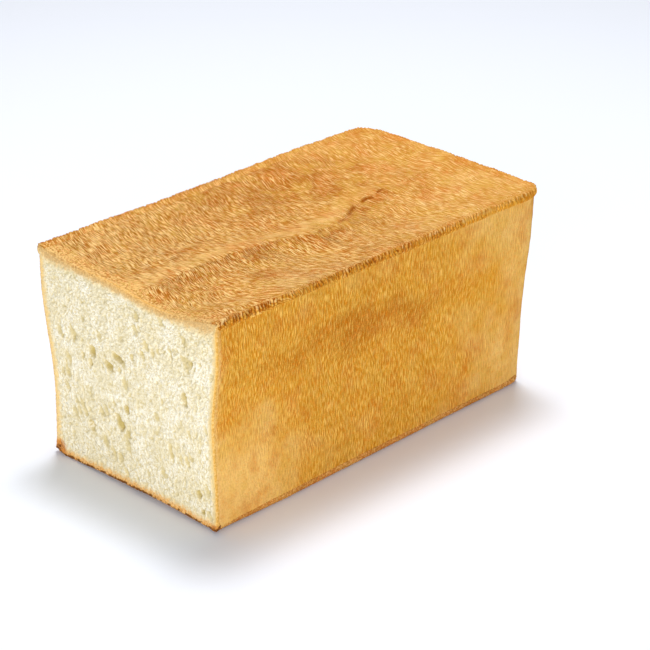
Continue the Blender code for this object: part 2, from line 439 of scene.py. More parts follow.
def crust_material(name, tones, streak_size, flushed, flecked, low_tones=None):
    """Baked skin. Its tones are pale, plain, deep, underbaked, warm and straw. Pale
    streaks lie on a ground that is deeper where "toast" is over a half and underbaked
    where it is under, and flecked with warm and straw. "crisp" is the streaks' strength
    and "grainy" breaks them into granules. The mark for shade and scorch darkens: painted
    shade in grooves, cracks and under torn edges, and scorched specks. The fringe mark
    bleaches pale fringes and, on the rim, paints highlights on the pleats. flushed is the
    strength of the browner, paler and redder patches, and flecked of the cream flecks.
    low_tones take over where the mark "wallward" is 1."""
    material = bpy.data.materials.new(name)
    material.use_nodes = True
    tree = Wire(material.node_tree)
    length, width = streak_size
    grainy, crisp = tree.mark("grainy"), tree.mark("crisp")
    place = tree.node("ShaderNodeTexCoord", {}, {}, "Object")
    near = place.node("ShaderNodeSeparateXYZ", {}, {0: place}, "Y").rising(FAINT_Y, CLEAR_Y)
    bend = place.swells(BEND_SIZE, 0.0, output="Color").moved((-0.5, -0.5, -0.5))
    path = tree.mark("sheet", "Vector").moved(bend.times(BEND_SHIFT))
    broad = path.scaled(1 / length, 1 / width, 0).noise(0.0)
    thin = path.moved((0.1, 0.2, 0)).scaled(1.6 / length, 2.0 / width, 0).noise(0.0)
    hair = path.moved((0.2, 0.5, 0)).scaled(2.2 / length, 3.4 / width, 0).noise(0.0)
    fleck = path.moved((0.3, 0.7, 0)).scaled(1.1 / length, 1.7 / width, 0).noise(1.0)
    granule = place.swells(GRANULE, 2.0, 0.65)
    speckle = place.swells(SPECKLE, 1.0)
    ground = tree.node("ShaderNodeRGB")
    ground.socket.default_value = colour(*tones[1])
    if low_tones:
        share = tree.mark("wallward")
        pairs = zip(tones, low_tones)
        tones = [ground.tinted(colour(*top), 1.0).tinted(colour(*low), share) for top, low in pairs]
        ground = tones[1]
    else:
        tones = [colour(*tone) for tone in tones]
    pale, _, deep, underbaked, warm, straw = tones
    streak = broad * 0.14 + thin * 0.76 + (hair * 1.0 + speckle * 0.38 - 0.69) * near + 0.05
    grain = streak + ((granule - 0.5) * 1.4 + 0.5 - streak) * grainy
    patch = place.swells(PATCH_SIZE, 1.5)
    blush = place.moved((0.2, 0.1, 0.3)).swells(BLUSH_SIZE, 1.5)
    hue = place.moved((0.5, 0.1, 0.7)).swells(HUE_SIZE, 2.0, 0.65)
    toast = tree.mark("toast") + (patch - 0.5) * (1.6 * flushed + 0.1)
    browner = toast.rising(0.5, 1.05)
    tone = ground.tinted(deep, browner)
    tone = tone.tinted(underbaked, toast.rising(0.5, 0.0))
    tone = tone.tinted(FLUSH, blush.rising(0.50, 0.72) * flushed)
    tone = tone.tinted(straw, blush.rising(0.50, 0.30) * flushed)
    tone = tone.tinted(warm, hue.rising(0.50, 0.66) * crisp * 0.78)
    tone = tone.tinted(straw, hue.rising(0.50, 0.34) * crisp * 0.78)
    tone = tone.tinted(deep, (0.5 - grain).rising(-0.06, 0.30) * (crisp * 0.78))
    paling = crisp * (1 - browner * 0.40)
    tone = tone.tinted(pale, (grain - 0.5).rising(-0.04, 0.26) * paling)
    flecks = (fleck - 0.62).rising(0.0, 0.06) * (1 - grainy) * paling
    tone = tone.tinted(pale, flecks).tinted(FLECK_CREAM, flecks * flecked)
    # Painted shade darkens grooves, cracks and the foot of torn edges, and scorched specks darken
    # too; pale fringes bleach, and on the rim they also carry painted highlights on the pleats.
    shade_and_scorch = tree.mark("painted_shade_and_scorch") * (granule.rising(0.66, 0.40) * 0.4 + 0.6)
    fringe_and_highlight = tree.mark("fringe_and_highlight") + (granule - 0.5) * 1.6 * tree.mark("fringe_and_highlight")
    tone = tone.tinted(SHADE_AND_SCORCH_BROWN, shade_and_scorch).tinted(FRINGE_AND_HIGHLIGHT_CREAM, fringe_and_highlight.rising(0.2, 0.8))
    finish_material(material, tone, grain * crisp, 0.75, 0.06)
    return material


def from_cut(along, reach):
    """1 at the cut, falling to 0 at this distance from it."""
    return np.clip(1 - (along - CUT_Y) / reach, 0, 1)


base_reach = CORNER - BASE_ROLL + BASE_ROLL * math.pi / 2 + BASE_FOOT
along, across = np.meshgrid(
    stations(SKIN_Y, CORE_Y + base_reach, BASE_STEP),
    stations(CORE_X + base_reach, -CORE_X - base_reach, -BASE_STEP),
    indexing="ij",
)
place, out, past_level = bent_sheet(across, along, BASE_ROLL)
place *= (1, 1, -1)
out *= (1, 1, -1)
foot_y = np.minimum(along[:, 0], CORE_Y - CORNER)
foot_left = np.array([wall_at(y, BASE_ROLL, -1) for y in foot_y])[:, None]
foot_right = np.array([wall_at(y, BASE_ROLL, 1) for y in foot_y])[:, None]
foot_far = packed.ray_cast(Vector((0, 2 * FAR_Y, BASE_ROLL)), Vector((0, -1, 0)))[0].y
share = (place[..., 0] + HALF_WIDTH) / (2 * HALF_WIDTH)
place[..., 0] = foot_left + (foot_right - foot_left) * share
place[..., 1] = SKIN_Y + (place[..., 1] - SKIN_Y) * (foot_far - SKIN_Y) / (FAR_Y - SKIN_Y)
base_side = laid_on_loaf(place, out, BASE_STEP, BASE_SOFTNESS)
past_bend = past_level - BASE_ROLL * math.pi / 2
turned_in = np.clip((past_bend - TURN_START) / TURN_LENGTH, 0, 1) ** 2
base_side -= out * (turned_in * TURN_DEPTH - BASE_PROUD)[..., None]
base_marks = {
    "sheet": np.dstack((across, along, across * 0)),
    "toast": 0.6,
    "grainy": 0.8,
    "crisp": 0.9,
}
base_crust = add_skin("base_crust", base_side, out, base_marks)
base_tones = (238, 190, 116), (208, 138, 58), (150, 84, 22), (226, 178, 102)
base_tones += (222, 134, 62), (214, 160, 76)
skin_streaks = (STREAK_LONG, STREAK_SHORT)
base_brown = crust_material("base_brown", base_tones, skin_streaks, 0.5, 0.3)
skin_sizes = {"Ridge Height": 0.0002, "Swell Height": 0.0004, "Swell Size": 0.007}
work(base_crust, risen_skin(base_brown), {**skin_sizes, "Granule Height": 0.0005})
held_in_size(base_crust)
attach(base_crust, "root")
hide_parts("loaf")


# ---------------------------------------------------------------------------
# Wall crust. The three upright faces that baked against the tin's walls: golden, with
# fine upright streaks where the rising dough slid up the metal. One skin, bent round
# the two far corners, tucked behind the base's foot and under the lid's rim.
# ---------------------------------------------------------------------------

WALL_STEP = 0.00085
WALL_FOOT = 0.0026  # height of its lower edge, behind the turned-up base
WALL_HEAD = 0.0030  # distance of its upper edge below the top, under the rim
WALL_SOFTNESS = 0.0045

STRAIGHT = CORE_Y - SKIN_Y
BEND = CORNER * math.pi / 2
GIRTH = 2 * STRAIGHT + 2 * BEND + 2 * CORE_X


def round_the_walls(run):
    """Where a run along the walls leads, from the +X wall's cut end round the far end to
    the -X wall's: the core points, and the level directions out from them."""
    first_turn = np.clip((run - STRAIGHT) / CORNER, 0, math.pi / 2)
    second_turn = np.clip((run - STRAIGHT - BEND - 2 * CORE_X) / CORNER, 0, math.pi / 2)
    angle = first_turn + second_turn
    core_x = CORE_X - np.clip(run - STRAIGHT - BEND, 0, 2 * CORE_X)
    core_y = SKIN_Y + np.clip(run, 0, STRAIGHT) - np.clip(run - (GIRTH - STRAIGHT), 0, STRAIGHT)
    return np.stack((core_x, core_y), -1), np.stack((np.cos(angle), np.sin(angle)), -1)


def smooth(low, high, value):
    """0 at low and 1 at high, with a level start and finish."""
    t = np.clip((value - low) / (high - low), 0, 1)
    return t * t * (3 - 2 * t)


def bell(value, centre, spread):
    """1 at the centre, falling to 0 on both sides over about twice the spread."""
    return np.exp(-(((value - centre) / spread) ** 2))


up, run = np.meshgrid(
    stations(WALL_FOOT, TOP_Z - WALL_HEAD, WALL_STEP), stations(0, GIRTH, WALL_STEP), indexing="ij"
)
core, level_out = round_the_walls(run)
out = np.dstack((level_out, up * 0))
place = np.dstack((core, up)) + CORNER * out
wall_side = laid_on_loaf(place, out, WALL_STEP, WALL_SOFTNESS)

# The walls are deepest in a band two thirds of the way up, most of all in the half by
# the cut, and palest low down by the cut. A pale upright band just before each far
# corner is painted highlight where the wall turns.
wall_y, wall_z = wall_side[..., 1], wall_side[..., 2]
BAND_Z, BAND_SPREAD, BAND_FALL = 0.0735, 0.0115, 0.09  # it sinks towards the far end
DEEPEST_Y, DEEPEST_REACH = -0.016, 0.028
PALER_FROM, PALEST_AT = 0.01, 0.09  # Y, towards the far end
band = bell(wall_z + BAND_FALL * np.maximum(wall_y, 0), BAND_Z, BAND_SPREAD)
band *= 0.46 + 0.74 * bell(wall_y, DEEPEST_Y, DEEPEST_REACH)
band *= smooth(-0.112, -0.080, wall_y) * smooth(0.107, 0.055, wall_y)
toast = 0.43 + 0.62 * band - 0.26 * smooth(PALER_FROM, PALEST_AT, wall_y)
low_by_cut = smooth(0.078, 0.014, wall_z) * smooth(-0.03, -0.10, wall_y)
toast -= 0.42 * low_by_cut
toast += 0.30 * bell(wall_y, -0.100, 0.014) * smooth(0.084, 0.096, wall_z)
CORNER_HIGHLIGHT, CORNER_BEFORE = 0.003, 0.002
# Painted highlight: a pale upright band just before each rounded far corner.
for corner_run in (STRAIGHT - CORNER_BEFORE, GIRTH - STRAIGHT + CORNER_BEFORE):
    toast -= 0.25 * bell(run, corner_run, CORNER_HIGHLIGHT)
toast -= 0.25 * from_cut(wall_y, 0.009)
wall_marks = {
    "sheet": np.dstack((up, run, run * 0)),
    "toast": toast,
    "grainy": 0.18 + 0.5 * smooth(0.045, 0.010, up) * smooth(-0.04, -0.10, wall_y),
    "crisp": 0.80 - 0.45 * low_by_cut - 0.22 * smooth(0.02, 0.09, wall_y),
    "fringe_and_highlight": 0.65 * from_cut(wall_y, 0.0060),
}
wall_crust = add_skin("wall_crust", wall_side, out, wall_marks, map_rows=3)
wall_tones = (252, 202, 98), (217, 148, 34), (184, 107, 0), (240, 194, 113)
wall_tones += (230, 140, 34), (216, 162, 60)
wall_gold = crust_material("wall_gold", wall_tones, (0.0072, 0.0010), 0.45, 0.12)
skin_sizes = {"Ridge Height": 0.00015, "Swell Height": 0.0004, "Swell Size": 0.007}
work(wall_crust, risen_skin(wall_gold), {**skin_sizes, "Granule Height": 0.0003})
held_in_size(wall_crust)
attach(wall_crust, "root")
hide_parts("loaf")


# ---------------------------------------------------------------------------
# Lid crust. The top, pressed flat by the tin's lid and streaked where the dough was
# dragged along it. An old fold in the dough leaves a crease, torn at its far half.
# ---------------------------------------------------------------------------

LID_STEP = 0.00052
LID_ROLL = 0.0019  # radius of the bend from the top to the walls
LID_REACH = CORNER - 0.0035  # the skin ends under the rim, this far out from its core
LID_TUCK, TUCK_LENGTH = 0.0009, 0.0018  # its edge dips under the rim
LID_SOFTNESS = 0.0026

along, across = np.meshgrid(
    stations(SKIN_Y, CORE_Y + LID_REACH, LID_STEP),
    stations(-CORE_X - LID_REACH, CORE_X + LID_REACH, LID_STEP),
    indexing="ij",
)
place, out, past_level = bent_sheet(across, along, LID_ROLL)
place[..., 2] += TOP_Z
lid_side = laid_on_loaf(place, out, LID_STEP, LID_SOFTNESS)
tucked = smooth(LID_REACH - TUCK_LENGTH, LID_REACH, past_level + CORNER - LID_ROLL)
lid_side[..., 2] -= LID_TUCK * tucked

# The fold's torn edge, seen from above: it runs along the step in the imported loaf's top.
FOLD_X, FOLD_DRIFT = 0.0040, -0.012
FOLD_BEND, FOLD_BEND_Y, FOLD_BEND_SPREAD = 0.0108, 0.003, 0.027
FOLD_END = 0.060
FOLD_JAGS = (0.0008, 0.0042, 0.0079), (0.0003, 0.0016, 0.0037)  # reach, pitch and drift


def past_fold_at(across, along):
    """How far towards +X a place on the top is from the fold's ragged upper edge."""
    edge = FOLD_X + FOLD_DRIFT * (along - LOAF_LOW.y / 2)
    edge += FOLD_BEND * bell(along, FOLD_BEND_Y, FOLD_BEND_SPREAD)
    for reach, pitch, drift in FOLD_JAGS:
        edge -= reach * np.sin(along / pitch + 1.6 * np.sin(along / drift))
    return across - edge


LEVEL_LEFT, LEVEL_RIGHT = -0.042, 0.012  # X where the streaks' slant is least
STEEP_RIGHT = 0.040  # and how far past that it grows by turned_up
STREAK_BREAK = 0.003  # the streaks don't match across the fold


def streak_marks(across, along):
    """Coordinates along and across the top's streaks. They slant towards the cut near
    the -X wall and turn the other way up to the fold; past it they start level, and turn
    up towards the +X wall by the cut."""
    turned_up = 0.12 + 0.35 * bell(along, -0.055, 0.030)
    turned_down = 0.08 + 0.22 * smooth(-0.060, -0.090, along)

    def left(x):
        return -0.18 * x + 0.42 * (x - LEVEL_LEFT) ** 3 / (3 * LEVEL_LEFT**2)

    def right(x):
        past = x - LEVEL_RIGHT
        return turned_up * past**3 / (3 * STEEP_RIGHT**2) - turned_down * past

    past = past_fold_at(across, along)
    fold = across - past
    slid = np.where(past > 0, left(fold) + right(across) - right(fold), left(across))
    return np.dstack((across + STREAK_BREAK * (past > 0), along - slid, across * 0))


# The crease breaks into short steps. Its raised side before the edge is paler, a painted
# highlight; past the edge the low side is darker, painted shade that is darkest at the
# step's foot, and a broken dark line there, strongest where the skin tore, is painted shade too.
past_fold = past_fold_at(across, along)
living = smooth(-0.100, -0.060, along) * smooth(FOLD_END, FOLD_END - 0.006, along)
torn = bell(along, 0.041, 0.019) * living
# Painted shade: a broken dark line at the step's foot, strongest where the skin tore.
scar_shade = bell(past_fold, 0.0006, 0.0007)
SCAR_PITCH, SCAR_DRIFT = 0.0095, 0.011
in_bits = 0.5 + 0.5 * np.sin(along / SCAR_PITCH * 2 * math.pi + 3 * np.sin(along / SCAR_DRIFT))
in_bits = smooth(0.15, 0.60, in_bits)
lip = bell(past_fold, -0.0015, 0.0016) * in_bits
trough = bell(past_fold, 0.0012, 0.0014)
lid_side[..., 2] += living * (0.0002 + 0.0005 * torn) * lip
lid_side[..., 2] -= living * (0.0001 + 0.0003 * torn) * trough
near_rim = bell(past_level, 0.001, 0.006)
# Painted shade on the low side past the step, darkest at its foot, and painted highlight on the
# raised side before it.
low_side = smooth(-0.0003, 0.0010, past_fold) * smooth(0.020, 0.001, past_fold)
low_side *= smooth(0.075, 0.035, along) * smooth(-0.120, -0.075, along)
step_shade = bell(past_fold, 0.0028, 0.0030) * bell(along, 0.012, 0.034) * (0.35 + 0.65 * in_bits)
high_side = bell(past_fold, -0.0060, 0.0052) * smooth(0.070, 0.04, along)
# The fold's painted light: its low side and the step's foot are browned as shade, its raised side
# paled as highlight.
toast = 0.40 + 0.20 * near_rim + 0.46 * low_side + 0.80 * step_shade
toast -= 0.34 * high_side + 0.60 * from_cut(along, 0.018)

# Browner and paler patches: X, Y, reach, and how much more or less it is toasted.
LID_PATCHES = (
    (-0.052, 0.004, 0.048, 0.50),
    (-0.030, 0.045, 0.028, 0.30),
    (0.030, -0.052, 0.012, 0.40),
    (0.045, -0.052, 0.010, -0.50),
    (0.038, 0.030, 0.016, -0.18),
    (0.030, 0.096, 0.015, -0.28),
    (0.050, 0.064, 0.018, -0.16),
    (0.058, -0.072, 0.010, 0.30),
    (0.058, 0.004, 0.022, 0.18),
    (-0.005, 0.060, 0.040, 0.08),
    (-0.030, -0.085, 0.030, -0.12),
)
for patch_x, patch_y, reach, amount in LID_PATCHES:
    toast += amount * bell(np.hypot(across - patch_x, along - patch_y), 0, reach)
SPECK_X, SPECK_Y, SPECK_SIZE = 0.028, -0.081, 0.0005
speck = bell(np.hypot(across - SPECK_X, along - SPECK_Y), 0, SPECK_SIZE)

CRISP_FADE = 3.0  # the streaks get fainter by this share for each metre towards the far end
crisp = (0.94 - CRISP_FADE * along) * (1 - 0.30 * high_side)
crisp *= 1 + 0.30 * low_side - 0.55 * step_shade
grainy_past_fold = 0.30 * smooth(-0.02, -0.08, along) * smooth(0.0, 0.006, past_fold)
torn_lip = torn * bell(past_fold, -0.0008, 0.0006) * in_bits


def grainy_by_cut(along):
    """The top's last centimetre by the cut has granules in place of streaks."""
    return 0.95 * smooth(CUT_Y + 0.013, CUT_Y + 0.003, along)


lid_marks = {
    "sheet": streak_marks(across, along),
    "toast": toast,
    "grainy": np.maximum(grainy_by_cut(along), grainy_past_fold),
    "crisp": crisp,
    "painted_shade_and_scorch": np.maximum(scar_shade * (0.40 * living + 1.1 * torn) * in_bits, 1.2 * speck),
    "fringe_and_highlight": 0.6 * from_cut(along, 0.009) + 0.5 * torn_lip,
}
lid_crust = add_skin("lid_crust", lid_side, out, lid_marks)
lid_tones = (248, 204, 133), (200, 139, 57), (168, 94, 10), (230, 184, 110)
lid_tones += (220, 140, 70), (206, 156, 62)
lid_brown = crust_material("lid_brown", lid_tones, skin_streaks, 0.70, 0.6)
skin_sizes = {"Ridge Height": 0.00012, "Swell Height": 0.0004, "Swell Size": 0.010}
work(lid_crust, risen_skin(lid_brown), {**skin_sizes, "Granule Height": 0.0007})
held_in_size(lid_crust)
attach(lid_crust, "root")
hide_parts("loaf")


# ---------------------------------------------------------------------------
# Rim. The dough that was squeezed out between the lid and the tin's walls, and baked
# into a rope of small pleats round three sides. It overlaps the top and the walls.
# ---------------------------------------------------------------------------

RIM_STEP = 0.00030
RIM_INNER = CORNER - 0.0056  # on the top it starts this far out from its core
RIM_SKIRT = 0.0050  # and hangs this far down the walls
RIM_TUCK, RIM_TUCK_LENGTH = 0.0008, 0.0018  # both its edges dip into the skins beside it
RIM_SOFTNESS = 0.0018
PLEAT_PITCH = 0.0019
ROPE_HALF_WIDTH = 0.0031
ROPE_DROP = 0.0012  # its middle lies this far down the wall from the loaf's edge

rim_outer = CORNER - LID_ROLL + LID_ROLL * math.pi / 2 + RIM_SKIRT
ring, run = np.meshgrid(
    stations(rim_outer, RIM_INNER, -RIM_STEP), stations(0, GIRTH, RIM_STEP), indexing="ij"
)
core, level_out = round_the_walls(run)
place, out = bent_down(core, level_out, ring, LID_ROLL)
place[..., 2] += TOP_Z
rim_side = laid_on_loaf(place, out, RIM_STEP, RIM_SOFTNESS)
crest = ring - (CORNER - LID_ROLL) - LID_ROLL * math.pi / 4 - ROPE_DROP
rim_edge = np.minimum(ring - RIM_INNER, rim_outer - ring)
rim_side -= out * (RIM_TUCK * smooth(RIM_TUCK_LENGTH, 0.0, rim_edge))[..., None]

# At the +X end by the cut a scrap of the rim tore loose and stayed pale.
SCRAP_RUN, SCRAP_CREST, SCRAP_SIZE = 0.0036, -0.0020, 0.0024
SCRAP_RISE = 0.0004
SCRAP_RAGS = 0.0006  # its outline is ragged by this much
scrap = np.hypot(run - SCRAP_RUN, 1.3 * (crest - SCRAP_CREST))
scrap += SCRAP_RAGS * np.sin(run / 0.00035) * np.cos(crest / 0.00045 + run / 0.0009)
rim_side += out * (SCRAP_RISE * bell(scrap, 0, SCRAP_SIZE))[..., None]

# Its crest is browner. Lower on the rope, down the wall, a browner band is painted shade under the
# rope.
rim_y = rim_side[..., 1]
wallward = smooth(-0.0018, 0.0012, crest)
toast = 0.48 - 0.28 * wallward * smooth(PALER_FROM, PALEST_AT, rim_y)
# Painted shade on the rope's lower flank.
toast += 0.34 * bell(crest, 0.0024, 0.0016)
toast += 0.40 * bell(crest, -0.0004, 0.0022) * smooth(0.10, -0.03, rim_y)
sheet_place = core + level_out * ring[..., None]
rim_marks = {
    "sheet": streak_marks(sheet_place[..., 0], sheet_place[..., 1]),
    "wallward": wallward,
    "toast": toast,
    "grainy": np.maximum(0.35, grainy_by_cut(rim_y)),
    "crisp": 0.9 - CRISP_FADE * rim_y,
    "fringe_and_highlight": np.maximum(0.3 * from_cut(rim_y, 0.004), bell(scrap, 0, 0.8 * SCRAP_SIZE)),
    "crack": bell(scrap, 1.45 * SCRAP_SIZE, 0.0004) * smooth(0.002, 0.004, run + crest),
    "crest": crest,
    "run": run,
}
rim_crust = add_skin("rim_crust", rim_side, out, rim_marks, map_rows=7)


SWAY_SIZE, SWAY = 0.005, 0.0016  # the rope sways from side to side
FIRM_SIZE = 0.008  # the pleats are firm and faint by turns
WAVE_SIZE, FLANK_SIZE = 0.0055, 0.003
CRACK_DEPTH = 0.0007


def stored(geometry, name, values):
    """Stores a mark on a tree's geometry."""
    inputs = {"Geometry": geometry, "Name": name, "Value": values}
    return geometry.node("GeometryNodeStoreNamedAttribute", {"domain": "POINT"}, inputs)


def pleated_rim(material):
    """Tree that gathers the rim into pleats, which lie across it a pitch apart. It marks
    painted shade in the grooves between them, on patches of the rope's lower flank and in
    the scrap's crack, and painted highlights on the pleats' tops."""
    sizes = ("Half Width", "Rise", "Pleat Rise", "Pitch", "Top Slant", "Wall Slant", "Wave")
    tree, geometry, size = geometry_tree("pleated_rim", sizes)
    crest = mark_in(geometry, "crest")
    place = geometry.node("GeometryNodeInputPosition")
    wander = place.swells(SWAY_SIZE, 1.0) * 2.4
    down_wall = crest.maths("MAXIMUM", crest, 0.0)
    slid = crest * size("Top Slant") - down_wall * size("Wall Slant")
    turns = (mark_in(geometry, "run") + slid) / size("Pitch") + wander
    cells = {"W": turns, "Scale": 1.0, "Randomness": 0.75}
    to_edge = {"voronoi_dimensions": "1D", "feature": "DISTANCE_TO_EDGE"}
    from_edge = turns.node("ShaderNodeTexVoronoi", to_edge, cells)
    tint = turns.node("ShaderNodeTexVoronoi", {"voronoi_dimensions": "1D"}, cells, "Color")
    lot = tint.node("ShaderNodeSeparateXYZ", {}, {0: tint}, 0)
    pleat = from_edge.rising(0.0, 0.40)
    sway = (place.moved((0.4, 0.2, 0.1)).swells(SWAY_SIZE, 1.0) - 0.5) * SWAY
    across = (crest + sway) / size("Half Width")
    square = across * across
    hump = square.maths("EXPONENT", square * square * -0.8)
    firm = place.swells(FIRM_SIZE).rising(0.28, 0.52) * crest.rising(-0.0030, -0.0004)
    rise = size("Rise") + (pleat - 0.5 + lot * 0.3) * size("Pleat Rise") * firm
    wave = (place.swells(WAVE_SIZE, 1.0) - 0.5) * size("Wave")
    crack = mark_in(geometry, "crack")
    height = hump * (rise + wave) - crack * CRACK_DEPTH
    moved = pushed_out(geometry, height * mark_in(geometry, "outer"))
    flank = place.swells(FLANK_SIZE, 1.0).rising(0.45, 0.65)
    # Painted shade: the grooves between firm pleats, patches on the rope's lower flank and the
    # scrap's crack are darkened.
    under = hump * (1 - hump) * 2.4 * flank * crest.rising(-0.0002, 0.0010)
    painted_shade_and_scorch = hump * from_edge.rising(0.32, 0.08) * firm * mark_in(geometry, "crisp")
    painted_shade_and_scorch = painted_shade_and_scorch.maths("MAXIMUM", painted_shade_and_scorch, under * 0.5)
    painted_shade_and_scorch = painted_shade_and_scorch.maths("MAXIMUM", painted_shade_and_scorch, crack)
    on_top = crest.rising(0.0022, 0.0)
    # Painted highlight: the pleats' tops on the rope's upper side are lightened, added to the pale
    # fringe.
    light = hump * pleat * (lot * 0.45 + 0.15) * firm * on_top
    light = mark_in(geometry, "fringe_and_highlight") + light
    finish_tree(stored(stored(moved, "painted_shade_and_scorch", painted_shade_and_scorch), "fringe_and_highlight", light), material)
    return tree


rope_sizes = {"Half Width": ROPE_HALF_WIDTH, "Rise": 0.00055, "Pleat Rise": 0.0008, "Wave": 0.0009}
rope_sizes |= {"Pitch": PLEAT_PITCH, "Top Slant": 0.15, "Wall Slant": 0.55}
rim_brown = crust_material("rim_brown", lid_tones, skin_streaks, 0.5, 0.3, wall_tones)
work(rim_crust, pleated_rim(rim_brown), rope_sizes)
work(rim_crust, risen_skin(rim_brown), {**skin_sizes, "Granule Height": 0.0004})
held_in_size(rim_crust)
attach(rim_crust, "root")
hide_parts("loaf")


# ---------------------------------------------------------------------------
# Crumb. The white inside, sawn through at the cut: fine cells that lean and lengthen
# towards the base, with a few larger holes. At its edge it browns into the skin, and
# its rounded lip covers the skin's sawn end.
# ---------------------------------------------------------------------------

CELLS_ACROSS = 300
CELLS_UP = 260
CRUMB_STRIDE = 10  # its hidden rings have one place for each ten of the cut's edge
SECTION_Y = SKIN_Y + 0.0010  # the outline of the cut is taken here, where the skins begin
LIP_PROUD = 0.0002  # the cut's edge stands out past the skins,
LIP_LENGTH, LIP_INSET = 0.0016, 0.0007  # and turns back inside them
SECTION_STEP = 0.022
DEEP_INSET = 0.0024  # behind the lip the crumb keeps this far inside the loaf's surface
FAR_INSET = 0.0020  # and ends this far short of the far corners' centres
PROBES = 320
PROBED_HALF_WIDTH = HALF_WIDTH - 0.0030  # clear of the walls, where upright probes would miss

bpy.context.view_layer.update()
graph = bpy.context.evaluated_depsgraph_get()
skins = (base_crust, wall_crust, lid_crust, rim_crust)
crusts = [BVHTree.FromObject(piece, graph) for piece in skins]


def outline(y, axis, sign, spots):
    """Where probes from one side, at these spots on the other axis, meet a crust."""
    inward = Vector((0, 0, 0))
    inward[axis] = -sign
    side = (LOAF_HIGH if sign > 0 else LOAF_LOW)[axis]
    found = []
    for spot in spots:
        start = Vector((spot, y, spot))
        start[axis] = side + sign * SURE_HIT
        hits = [crust.ray_cast(start, inward, 2 * SURE_HIT) for crust in crusts]
        hits = [hit for hit in hits if hit[0]]
        if hits:
            found.append((spot, min(hits, key=lambda hit: hit[3])[0][axis]))
    return np.array(found).T


def section(y, inset, across, up):
    """Places on the loaf's section at y, drawn in from its skin. across and up run
    from 0 to 1."""
    xs = np.linspace(-PROBED_HALF_WIDTH, PROBED_HALF_WIDTH, PROBES)
    zs = np.linspace(0, TOP_Z, PROBES)
    x = (2 * across - 1) * PROBED_HALF_WIDTH
    low = np.interp(x, *outline(y, 2, -1, xs)) + inset
    high = np.interp(x, *outline(y, 2, 1, xs)) - inset
    z = low + (high - low) * up
    start = np.interp(z, *outline(y, 0, -1, zs)) + inset
    end = np.interp(z, *outline(y, 0, 1, zs)) - inset
    return np.dstack((start + (end - start) * across, np.full(x.shape, y), z))


CROWDING = 0.35  # at the ends the cells are smaller by this share


def closer_at_ends(count):
    """Places from 0 to 1, closer together near both ends."""
    even = np.linspace(0, 1, count + 1)
    return even - CROWDING / (2 * math.pi) * np.sin(2 * math.pi * even)


# The cut, as a grid with its edges rounded back towards the skins.
up, across = np.meshgrid(closer_at_ends(CELLS_UP), closer_at_ends(CELLS_ACROSS), indexing="ij")
cut_face = section(SECTION_Y, -LIP_PROUD, across, up)
x, z = cut_face[..., 0], cut_face[..., 2]
below_top = cut_face[-1, :, 2] - z
above_base = z - cut_face[0, :, 2]
in_left = x - cut_face[:, :1, 0]
in_right = cut_face[:, -1:, 0] - x
TOP_ROUND, SIDE_ROUND, BASE_ROUND = 0.0022, 0.0010, 0.0008
edges = (below_top, TOP_ROUND), (above_base, BASE_ROUND)
edges += (in_left, SIDE_ROUND), (in_right, SIDE_ROUND)
setbacks = []
for distance, size in edges:
    turn = np.clip(1 - distance / size, 0, 1)
    setbacks.append((1 - np.sqrt(1 - turn**2)) * size)
cut_face[..., 1] = CUT_Y + np.max(setbacks, axis=0)
slope_up = np.gradient(cut_face, axis=0)
slope_across = np.gradient(cut_face, axis=1)
face_out = np.cross(slope_across, slope_up)
face_out /= np.linalg.norm(face_out, axis=-1, keepdims=True)

# Behind it, the lip's inner edge, coarse rings through the loaf and a flat far end.
fine = np.arange(across.size).reshape(across.shape)
places = [cut_face.reshape(-1, 3)]
faces = quads(fine).tolist()
loop = border(fine)
lip_y = cut_face.reshape(-1, 3)[loop, 1].max() + LIP_LENGTH
lip = section(lip_y, LIP_INSET, across.ravel()[loop][:, None], up.ravel()[loop][:, None])
lip_loop = fine.size + np.arange(len(loop))
places.append(lip.reshape(-1, 3))
turned, lip_turned = np.roll(loop, -1), np.roll(lip_loop, -1)
faces += np.stack((turned, loop, lip_loop, lip_turned), -1).tolist()
coarse_loop = loop[::CRUMB_STRIDE]
ring_across = across.ravel()[coarse_loop][:, None]
ring_up = up.ravel()[coarse_loop][:, None]
loop = lip_loop
count = fine.size + len(loop)
ring_ys = stations(SECTION_Y + SECTION_STEP, CORE_Y - FAR_INSET, SECTION_STEP)
for ring_y in ring_ys:
    ring = section(ring_y, DEEP_INSET, ring_across, ring_up)
    numbers = count + np.arange(len(coarse_loop))
    places.append(ring.reshape(-1, 3))
    faces += stitched(loop, numbers)
    loop = numbers
    count += len(numbers)
faces.append(loop[::-1].tolist())
crumb_mesh = bpy.data.meshes.new("crumb")
crumb_mesh.from_pydata(np.concatenate(places), [], faces)
crumb_mesh.shade_smooth()

# How browned the cut is, from 0 inside to 1 at the skin, over a band of its own width
# along each edge; the band's colour, and the skin's own at the very edge.
top_band = 0.0052 + 0.0035 * smooth(-0.034, -0.054, x) + 0.0050 * smooth(0.030, 0.054, x)
bands = (
    # The top band's greyer tan is partly crumb browned under the lid and partly painted shade along
    # the cut's top edge.
    (below_top, top_band, (222, 182, 120), (234, 180, 98)),
    (above_base, 0.0064, (238, 176, 94), (184, 106, 30)),
    (in_left, 0.0052, (244, 210, 140), (226, 168, 84)),
    (in_right, 0.0044, (243, 216, 150), (230, 176, 82)),
)
browned = np.zeros(x.shape)
weights = np.full(x.shape, 1e-6)
edge_colour = np.zeros((*x.shape, 3))
for distance, width, band_tone, skin_tone in bands:
    share = np.clip(1 - distance / width, 0, 1)
    browned = np.maximum(browned, share)
    skin = smooth(0.0012, 0.0002, distance)[..., None]
    tone = (1 - skin) * colour(*band_tone)[:3] + skin * colour(*skin_tone)[:3]
    edge_colour += share[..., None] ** 2 * tone
    weights += share**2
edge_colour /= weights[..., None]
